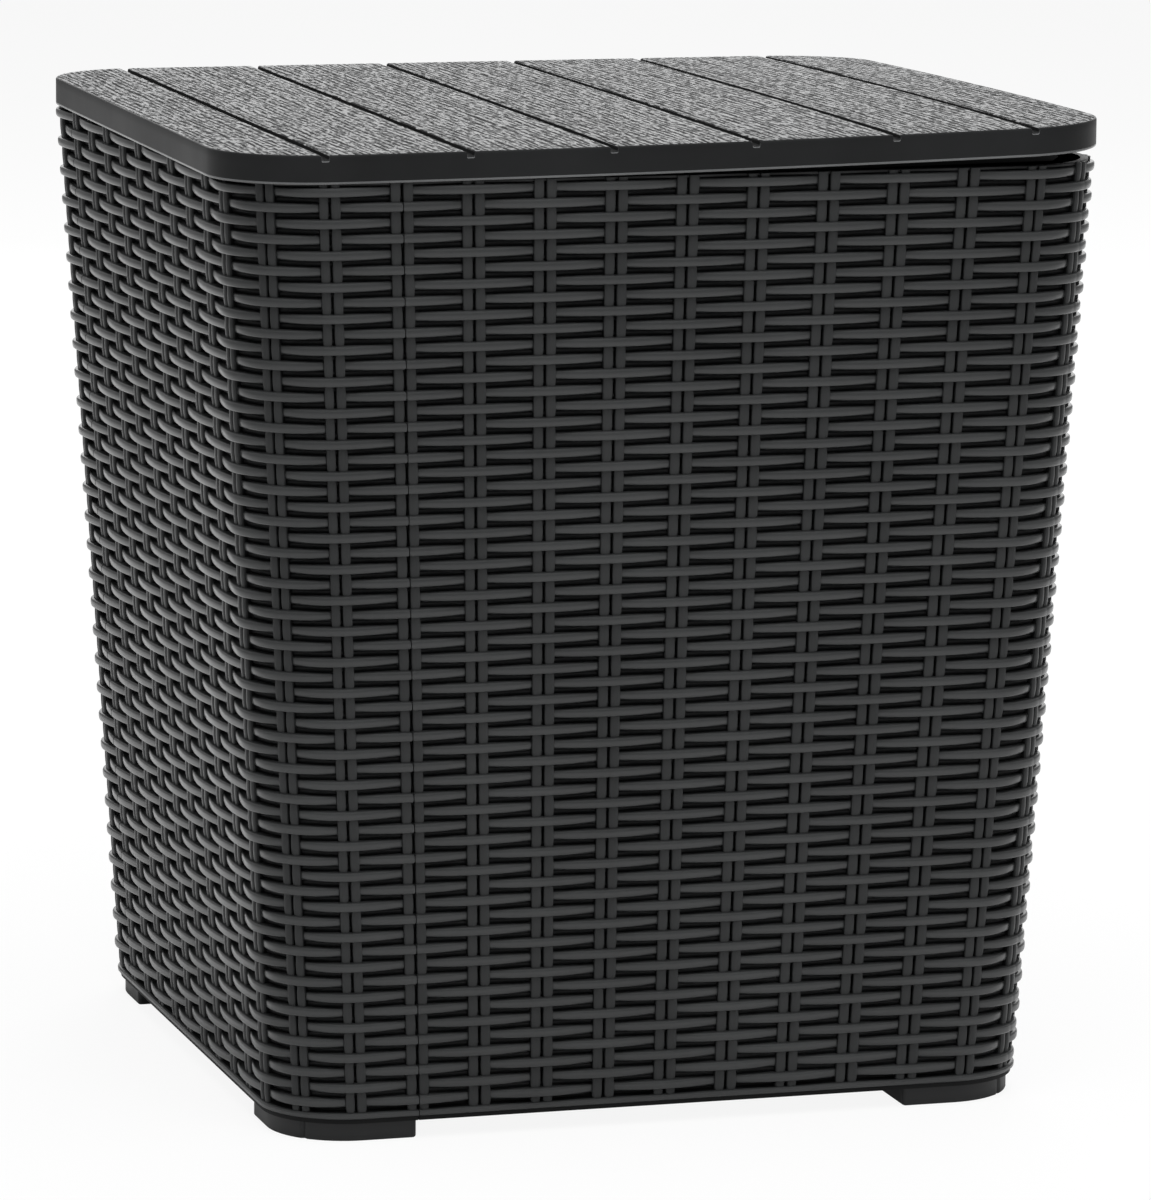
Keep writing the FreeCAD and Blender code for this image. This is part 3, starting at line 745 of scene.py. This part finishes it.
def foot_outline(inset):
    """The foot in plan, with a parting line down the middle of its round corner."""
    outer = BOTTOM_HALF - FOOT_INSET - inset
    inner = BOTTOM_HALF - FOOT_INSET - FOOT_SIZE + inset
    radius = CORNER_RADIUS * shrink_at(WALL_BOTTOM) - FOOT_INSET - inset
    small = FOOT_EDGE - inset
    front = [(inner, -outer, small), (outer, -outer, radius)]
    corners = front + [(outer, -inner, small), (inner, -inner, small)]
    outline = []
    for number, (x, y, bend) in enumerate(corners):
        turn_in = (-1 if x == outer else 1, 1 if y == -outer else -1)
        centre = np.array((x + turn_in[0] * bend, y + turn_in[1] * bend))
        share = np.linspace(0, 1, CORNER_STEPS + 1)
        if number == 1:
            share = np.sort(np.append(share, (0.5 - PARTING_WIDTH, 0.5 + PARTING_WIDTH)))
        angle = math.pi + math.pi / 2 * (number + share)
        reach = np.where((number == 1) & (share == 0.5), bend - PARTING_DEPTH, bend)
        outline.append(centre + np.stack([np.cos(angle), np.sin(angle)], axis=1) * reach[:, None])
    return np.concatenate(outline)


foot_rings = []
for level, inset in FOOT_RINGS:
    plan = foot_outline(inset)
    foot_rings.append(np.column_stack([plan, np.full(len(plan), level)]))
foot = np.array(foot_rings)[None]
# The foot takes the shell's darker tone, which is painted shade.
shell_bars = [(shell, shell_slots), (tongue, INNER_SLOT), (ledge, INNER_SLOT), (foot, SHELL_SHADE_SLOT)]
shell_mesh = bar_mesh("shell", shell_bars, WALL_RESINS, sharp=30.0)
print("shell of a wall:", len(shell_mesh.polygons), "faces")

# %% Four walls


def add_piece(name, mesh, body, node, turns=0):
    """An object that stands for a node and rides on its body, some quarter turns on from the front."""
    piece = bpy.data.objects.new(name, mesh)
    piece.rotation_euler.z = turns * math.pi / 2
    bpy.context.scene.collection.objects.link(piece)
    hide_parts(node)
    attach(piece, body)
    return piece


LAYERS = {"shell": shell_mesh, "stakes": stake_mesh, "strands": strand_mesh}
for turns, side in enumerate(SIDES):
    node = "wall_" + side
    for layer, mesh in LAYERS.items():
        add_piece(f"{node}_{layer}", mesh, "box", node, turns)
print("walls:", len(SIDES), "of", len(LAYERS), "pieces")

# %% [markdown]
# ## Lid
# One moulding: a deck of seven planks with grooves between, a side band all round, and ribs and
# locating lips below. A boolean could cut the grooves, but it leaves long faces that shade badly.
# Here the deck is a grid whose columns lie where the grooves need them, and the band hangs from the
# grid's edge in rings. The lid is loose on the walls: it lies a little askew, and its front right
# corner is sprung up.

# %% Deck grid
LID_EDGE = 1.0
LID_CORNER = CORNER_RADIUS + LID_HALF - TOP_HALF
BAND_HEIGHT = 13.6
BAND_THICK = 3.2
BAND_SHOULDER = 4.0
BAND_EDGE = [(0.0, 1.2), (0.0, 0.5), (-0.2, 0.15), (-0.6, 0.0)]
DECK_THICK = 5.0
GROOVE_RIGHT = [(1.3, 2.2), (1.75, 1.9), (2.0, 0.35), (2.6, 0.0)]
GROOVE_SHAPE = [(-offset, drop) for offset, drop in reversed(GROOVE_RIGHT)] + GROOVE_RIGHT
GROOVE_MARGIN = 1.0
GROOVE_SHADE = 0.5
# Band faces that take the painted highlight: the lower edge, and the notches at the grooves' ends.
EDGE_HIGHLIGHT_RINGS = (5, 6)
NOTCH_HIGHLIGHT_RINGS = (2,)
PLANK_COLUMNS = 6
DECK_ROWS = 40
LID_CORNER_STEPS = 14

deck_half = LID_HALF - LID_EDGE
deck_corner = LID_CORNER - LID_EDGE
deck_core = deck_half - deck_corner
grooves = [-LID_HALF + EDGE_PLANK + PLANK_PITCH * number for number in range(PLANKS - 1)]
band_bottom = LID_TOP - BAND_HEIGHT


def deck_columns():
    """Places across the deck with their drop: groove edges, planks, and closer steps in the corners."""
    columns = {}
    for centre in grooves:
        columns.update({centre + offset: drop for offset, drop in GROOVE_SHAPE})
    clear = GROOVE_RIGHT[-1][0] + GROOVE_MARGIN
    steps = range((PLANKS - 2) * PLANK_COLUMNS + 1)
    spread = [grooves[0] + PLANK_PITCH / PLANK_COLUMNS * step for step in steps]
    angles = [math.pi / 2 * step / LID_CORNER_STEPS for step in range(1, LID_CORNER_STEPS + 1)]
    bends = [deck_core + deck_corner * math.sin(angle) for angle in angles]
    for x in spread + bends + [-bend for bend in bends]:
        if all(abs(x - centre) > clear for centre in grooves):
            columns[x] = 0.0
    return np.array(sorted(columns.items())).T


def deck_reach(x):
    """How far back and forward the deck goes at a place across it."""
    over = np.clip(np.abs(x) - deck_core, 0, deck_corner)
    return deck_core + np.sqrt(deck_corner**2 - over**2)


column_x, column_drop = deck_columns()
row_share = np.linspace(-1, 1, DECK_ROWS + 1)
print("deck grid:", len(column_x), "columns and", len(row_share), "rows")

# %% Lid shell
EDGE_STEPS = 3
UNDER_SHARE = 0.975


def edge_loop(columns, rows):
    """Grid numbers round the deck's edge, counter-clockwise from the front left."""
    front = [(c, 0) for c in range(columns - 1)]
    right = [(columns - 1, r) for r in range(rows - 1)]
    back = [(c, rows - 1) for c in range(columns - 1, 0, -1)]
    left = [(0, r) for r in range(rows - 1, 0, -1)]
    return front + right + back + left


def outward(points):
    """The level direction out of the deck's outline at points of its edge."""
    core = np.clip(points[:, :2], -deck_core, deck_core)
    away = points[:, :2] - core
    return away / np.linalg.norm(away, axis=1)[:, None]


def band_rings(edge):
    """Rings of the side band, from the deck's rounded edge down its face and up its inner side."""
    out = outward(edge)
    rings = []
    for step in range(1, EDGE_STEPS + 1):
        angle = math.pi / 2 * step / EDGE_STEPS
        ring = edge.copy()
        ring[:, :2] += out * LID_EDGE * math.sin(angle)
        ring[:, 2] -= LID_EDGE * (1 - math.cos(angle))
        rings.append(ring)
    for reach, level in (
        (LID_EDGE, LID_TOP - BAND_SHOULDER),
        *((LID_EDGE + reach, band_bottom + height) for reach, height in BAND_EDGE),
        (LID_EDGE - BAND_THICK, band_bottom),
        (LID_EDGE - BAND_THICK, LID_TOP - DECK_THICK),
    ):
        ring = edge.copy()
        ring[:, :2] += out * reach
        ring[:, 2] = level
        rings.append(ring)
    return rings


def lid_shell():
    """Points, faces and material numbers of the deck, the band and the underside, as one closed skin."""
    columns, rows = len(column_x), len(row_share)
    x = np.repeat(column_x[:, None], rows, axis=1)
    y = deck_reach(column_x)[:, None] * row_share
    z = LID_TOP - np.repeat(column_drop[:, None], rows, axis=1)
    deck = np.stack([x, y, z], axis=-1)
    number = np.arange(columns * rows).reshape(columns, rows)
    loop = edge_loop(columns, rows)
    ring_numbers = [np.array([number[c, r] for c, r in loop])]
    points = [deck.reshape(-1, 3)]
    made = columns * rows
    for ring in band_rings(np.array([deck[c, r] for c, r in loop])):
        ring_numbers.append(np.arange(len(ring)) + made)
        points.append(ring)
        made += len(ring)
    under = deck * (UNDER_SHARE, UNDER_SHARE, 0.0) + (0.0, 0.0, LID_TOP - DECK_THICK)
    under_number = np.arange(columns * rows).reshape(columns, rows) + made
    points.append(under.reshape(-1, 3))
    for place, (c, r) in enumerate(loop):
        under_number[c, r] = ring_numbers[-1][place]
    faces = grid_faces(number)
    deep = (column_drop[:-1] + column_drop[1:]) / 2 > GROOVE_SHADE
    # Groove faces take the nearly black recess tone: painted shade in the grooves.
    slots = np.repeat(np.where(deep, GROOVE_SHADE_SLOT, DECK_SLOT), rows - 1).tolist()
    for ring, (upper, lower) in enumerate(zip(ring_numbers, ring_numbers[1:])):
        faces += np.stack([upper, lower, np.roll(lower, -1), np.roll(upper, -1)], axis=1).tolist()
        for c, r in loop:
            # The lower edge and the grooves' notches get the light edge tone, a painted highlight.
            notch_highlight = ring in NOTCH_HIGHLIGHT_RINGS and c < columns - 1 and deep[c]
            slots.append(EDGE_HIGHLIGHT_SLOT if ring in EDGE_HIGHLIGHT_RINGS or notch_highlight else BAND_SLOT)
    faces += grid_faces(under_number[:, ::-1])
    slots += [BAND_SLOT] * (len(faces) - len(slots))
    return np.concatenate(points), faces, slots


def grid_faces(number):
    corners = [number[:-1, :-1], number[1:, :-1], number[1:, 1:], number[:-1, 1:]]
    return np.stack(corners, axis=-1).reshape(-1, 4).tolist()


lid_points, lid_faces, lid_slots = lid_shell()
print("lid shell:", len(lid_points), "points")

# %% Lips and ribs
LIP_CLEARANCE = 4.9
LIP_OUTER = TOP_HALF - WALL_DEPTH - TONGUE_GAP - TONGUE_THICK - LIP_CLEARANCE
LIP_THICK = 2.5
LIP_DROP = 4.2
LIP_END = LID_HALF - 28.0
LIP_ROUND = 2.5
RIB_HEIGHT = 8.0
RIB_THICK = 2.0
RIB_ROUND = 1.0
RIB_PLACES = (-100.0, 0.0, 100.0)
PLATE_SUNK = 0.5
END_STEP = 0.999
END_LIFT = 0.6
under_level = LID_TOP - DECK_THICK + PLATE_SUNK


def upright(across, half_length, thick, low, rounding):
    """A thin upright plate along Y, with its lower edge rounded off at both ends."""
    bend = 1 - rounding / half_length
    length = np.array([-1.0, -END_STEP, -bend, bend, END_STEP, 1.0]) * half_length
    lift = np.array([1.0, END_LIFT, 0.0, 0.0, END_LIFT, 1.0]) * rounding
    left, right = across - thick / 2, across + thick / 2
    rings = []
    for y, foot_level in zip(length, low + lift):
        lower = [(left, y, foot_level), (right, y, foot_level)]
        rings.append(lower + [(right, y, under_level), (left, y, under_level)])
    return np.array(rings)


def turned(bar):
    """The same bar a quarter turn on."""
    return np.stack([-bar[..., 1], bar[..., 0], bar[..., 2]], axis=-1)


lip_line = LIP_OUTER - LIP_THICK / 2
lip_low = band_bottom - LIP_DROP
rib_low = LID_TOP - DECK_THICK - RIB_HEIGHT
plates = [upright(way * lip_line, LIP_END, LIP_THICK, lip_low, LIP_ROUND) for way in (-1, 1)]
plates += [upright(x, lip_line, RIB_THICK, rib_low, RIB_ROUND) for x in RIB_PLACES]
plates += [turned(plate) for plate in plates]
print("lips and ribs:", len(plates))

# %% Place the lid
LID_TURN = math.radians(-0.644)
LID_SPRING = 6.6


def sprung(points):
    """Lifts the front right corner, less and less to nothing at the left side and the back."""
    right = ((points[:, 0] + LID_HALF) / (2 * LID_HALF)) ** 2
    front = np.sin(math.pi / 2 * (LID_HALF - points[:, 1]) / (2 * LID_HALF))
    lifted = points.copy()
    lifted[:, 2] += LID_SPRING * right * front
    return lifted


def make_lid():
    bars = np.array(plates)
    corner = np.arange(bars[..., 0].size).reshape(bars.shape[:-1]) + len(lid_points)
    quads, caps = bar_faces(corner)
    points = np.concatenate([lid_points, bars.reshape(-1, 3)])
    faces = lid_faces + quads + caps
    slots = lid_slots + [BAND_SLOT] * (len(quads) + len(caps))
    mesh = finish_mesh("lid", sprung(points), faces, slots, LID_RESINS, sharp=35.0)
    lid = add_piece("lid_cap", mesh, "lid", "lid")
    lid.rotation_euler.z = LID_TURN
    return lid


lid = make_lid()
print("lid:", len(lid.data.polygons), "faces")

# %% [markdown]
# ## Floor and screws
# The floor plate keeps its solid, which is already the right shape, and gets a finish. The screws are
# made again: a pan head with a cross recess and a threaded shank. A bought screw model could be
# placed, but this one is a stack of rings about its axis, as a lathe would make it, and the recess is
# pressed in by lowering some points of the head's rings.

# %% Finishes inside
FLOOR_TONES = ((0.036, 0.037, 0.0375), (0.052, 0.0535, 0.054))
FLOOR_FINISH = make_resin(
    "floor_finish", EVEN, FLOOR_TONES,
    grain=700.0, gloss=(0.5, 0.62), bump_mm=0.05,
)
STEEL_TONES = ((0.42, 0.42, 0.43), (0.58, 0.58, 0.59))


def make_screw_finish():
    material, tree, shader = new_material("screw_finish", Metallic=1.0)
    skin = place_group(tree, SKIN, {"Grain": 1600.0, "Patches": 260.0})
    dress(tree, shader, skin, STEEL_TONES, (0.28, 0.42), 0.01)
    return material


SCREW_FINISH = make_screw_finish()
floor_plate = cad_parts["floor"]
floor_plate.data.materials.clear()
floor_plate.data.materials.append(FLOOR_FINISH)
print("finishes inside:", FLOOR_FINISH.name, SCREW_FINISH.name)

# %% One screw
SCREW_SIDES = 32
SHANK_RADIUS = 2.0
THREAD_PITCH = 1.0
THREAD_DEPTH = 0.35
HEAD_RADIUS = 3.75
HEAD_HEIGHT = 2.4
HEAD_SIDE = [(1.0, 0.0), (1.0, 0.45), (0.96, 0.68), (0.84, 0.87), (0.64, 0.97)]
HEAD_TOP = [(0.60, 1.0), (0.30, 1.0), (0.08, 1.0)]
PLAIN_SHANK = 1.0
TIP_SHARE = 0.3
TIP_LENGTH = 0.6
RECESS_REACH = 0.62
RECESS_DEPTH = 1.1
RECESS_MIDDLE = 0.4
ARM_TURN = SCREW_SIDES // 4
ARM_HALF = 1


def screw_rings(length):
    """Rings of a screw about Z: its seat at zero, the shank below it and the head above."""
    side = np.arange(SCREW_SIDES)
    turn = side * 2 * math.pi / SCREW_SIDES
    arm = np.minimum(side % ARM_TURN, -side % ARM_TURN) <= ARM_HALF
    turns = int((length - PLAIN_SHANK) / THREAD_PITCH)
    rings = [(TIP_SHARE * SHANK_RADIUS, -length)]
    for step in range(2 * turns + 1):
        radius = SHANK_RADIUS - THREAD_DEPTH * (step % 2 == 0)
        rings.append((radius, -length + TIP_LENGTH + THREAD_PITCH / 2 * step))
    rings.append((SHANK_RADIUS, 0.0))
    rings += [(share * HEAD_RADIUS, height * HEAD_HEIGHT) for share, height in HEAD_SIDE + HEAD_TOP]
    points = []
    for radius, level in rings:
        pressed = arm & (level > 0) & (radius < RECESS_REACH * HEAD_RADIUS)
        height = level - RECESS_DEPTH * (pressed | (radius < RECESS_MIDDLE))
        points.append(np.stack([radius * np.cos(turn), radius * np.sin(turn), height], axis=1))
    return np.array(points)


print("screw:", screw_rings(6.0).shape[0], "rings")

# %% Screws in place
SEAM_SCREW_LOW = 60.0
SEAM_SCREW_STEP = 170.0
SEAM_SCREWS = 3
RETURN_STRAIGHT = 30.3
TONGUE_FACE_GAP = 0.25
TIP_CLEARANCE = 0.3
FLOOR_TOP = 16.0
FLOOR_SCREW_EDGE = 4.2
FLOOR_SCREW_SPREAD = 70.0
FLOOR_SCREW_LENGTH = 8.0
FLOOR_CLEARANCE = 0.8


def seam_screws():
    """Three screws through the tongue, heads inward, with tips that stay in the wall behind the weave."""
    bars = []
    for number in range(SEAM_SCREWS):
        level = SEAM_SCREW_LOW + SEAM_SCREW_STEP * number
        seat = tongue_inner - CROWN_PROUD + TONGUE_FACE_GAP
        bar = screw_rings(seat + CROWN_PROUD - BACK_DEPTH - TIP_CLEARANCE)
        x = -(CORE - RETURN_STRAIGHT) * shrink_at(level) - TONGUE_LENGTH / 2
        y = seat - half_at(level)
        bars.append(np.stack([bar[..., 0] + x, bar[..., 2] + y, level - bar[..., 1]], axis=-1))
    return bars


def floor_screws():
    """Two screws on each side of the floor, down into the ledges."""
    bars = []
    line = BOTTOM_HALF - (tongue_inner - CROWN_PROUD) - FLOOR_CLEARANCE - FLOOR_SCREW_EDGE
    for spread in (-FLOOR_SCREW_SPREAD, FLOOR_SCREW_SPREAD):
        bar = screw_rings(FLOOR_SCREW_LENGTH) + (spread, -line, FLOOR_TOP)
        for _ in range(4):
            bars.append(bar)
            bar = turned(bar)
    return bars


seam_screw_mesh = bar_mesh("seam_screws", [(seam_screws(), 0)], [SCREW_FINISH], sharp=50.0)
for turns, side in enumerate(SIDES):
    node = "seam_screws_" + side
    add_piece(node + "_turned", seam_screw_mesh, "box", node, turns)
floor_screw_mesh = bar_mesh("floor_screws", [(floor_screws(), 0)], [SCREW_FINISH], sharp=50.0)
add_piece("floor_screws_turned", floor_screw_mesh, "box", "floor_screws")
print("screws:", len(SIDES) * len(seam_screws()), "in the seams and", len(floor_screws()), "in the floor")

# %% [markdown]
# ## Stage and light
# A plain pale floor, a pale surround and four soft lamps: one above, one in front, one at the back
# right and one over the floor behind the table. They stay at a level at which a colour shows about as
# it is written. Only the back lamp shows in reflections, where it gives the deck its sheen: the
# others would draw hard lines on the strands. The floor and the surround show white to the camera,
# and the floor keeps the shadow.

# %% Stage floor
STAGE_SIZE = 60.0
STAGE_GREY = 0.8
WHITE_SHARE = 0.9
FLOOR_GLOSS = 0.12


def seen_directly(tree, gloss_share):
    """1 for rays from the camera or through glass, a share for gloss, 0 for light that spreads."""
    path = add_node(tree, "LightPath")
    gloss = add_node(tree, "Math", {1: gloss_share}, operation="MULTIPLY")
    either = add_node(tree, "Math", operation="ADD")
    total = add_node(tree, "Math", operation="ADD", use_clamp=True)
    tree.links.new(path.outputs["Is Glossy Ray"], gloss.inputs[0])
    tree.links.new(path.outputs["Is Camera Ray"], either.inputs[0])
    tree.links.new(gloss.outputs[0], either.inputs[1])
    tree.links.new(either.outputs[0], total.inputs[0])
    tree.links.new(path.outputs["Is Transmission Ray"], total.inputs[1])
    return total.outputs[0]


def make_stage():
    mesh = bpy.data.meshes.new("stage_floor")
    half = STAGE_SIZE / 2
    corners = [(-half, -half, 0), (half, -half, 0), (half, half, 0), (-half, half, 0)]
    mesh.from_pydata(corners, [], [(0, 1, 2, 3)])
    floor = bpy.data.objects.new("stage_floor", mesh)
    bpy.context.scene.collection.objects.link(floor)
    material, tree, shader = new_material("stage_white", Roughness=0.9, Specular_IOR_Level=0.0)
    shader.inputs["Base Color"].default_value = (STAGE_GREY, STAGE_GREY, STAGE_GREY, 1)
    white = add_node(tree, "Emission", {"Strength": 1.0})
    share = add_node(tree, "Math", {1: WHITE_SHARE}, operation="MULTIPLY")
    mix = add_node(tree, "MixShader")
    tree.links.new(seen_directly(tree, FLOOR_GLOSS), share.inputs[0])
    tree.links.new(share.outputs[0], mix.inputs["Fac"])
    tree.links.new(shader.outputs[0], mix.inputs[1])
    tree.links.new(white.outputs[0], mix.inputs[2])
    tree.links.new(mix.outputs[0], tree.nodes["Material Output"].inputs["Surface"])
    mesh.materials.append(material)
    return floor


stage_floor = make_stage()
print("stage:", stage_floor.name, STAGE_SIZE, "m wide")

# %% Surround and lamps
SURROUND = 0.3
SURROUND_GLOSS = 0.12


def make_surround():
    world = bpy.data.worlds.new("surround")
    bpy.context.scene.world = world
    world.use_nodes = True
    tree = world.node_tree
    soft = tree.nodes["Background"]
    soft.inputs["Color"].default_value = (1, 1, 1, 1)
    soft.inputs["Strength"].default_value = SURROUND
    white = add_node(tree, "Background", {"Color": (1, 1, 1, 1), "Strength": 1.0})
    mix = add_node(tree, "MixShader")
    tree.links.new(seen_directly(tree, SURROUND_GLOSS), mix.inputs["Fac"])
    tree.links.new(soft.outputs[0], mix.inputs[1])
    tree.links.new(white.outputs[0], mix.inputs[2])
    tree.links.new(mix.outputs[0], tree.nodes["World Output"].inputs["Surface"])


def add_lamp(name, place, aim, size, power, mirrored=False):
    data = bpy.data.lights.new(name, "AREA")
    data.shape = "RECTANGLE"
    data.size, data.size_y = size
    data.energy = power
    lamp = bpy.data.objects.new(name, data)
    lamp.visible_glossy = mirrored
    bpy.context.scene.collection.objects.link(lamp)
    way = Vector(aim) - Vector(place)
    turn = way.to_track_quat("-Z", "Y").to_matrix().to_4x4()
    lamp.matrix_world = Matrix.Translation(place) @ turn
    return lamp


make_surround()
TABLE_MIDDLE = (0.0, 0.0, 0.25)
add_lamp("top_lamp", (-0.2, -0.6, 2.4), TABLE_MIDDLE, (2.2, 2.2), 58.0)
add_lamp("floor_lamp", (0.9, 2.2, 2.2), (0.9, 2.2, 0.0), (1.4, 1.4), 60.0)
add_lamp("back_lamp", (0.9, 3.0, 1.0), TABLE_MIDDLE, (2.4, 1.3), 12.0, mirrored=True)
add_lamp("front_lamp", (0.3, -2.2, 2.4), TABLE_MIDDLE, (2.0, 2.0), 20.0)
bpy.context.scene.view_settings.view_transform = "Standard"
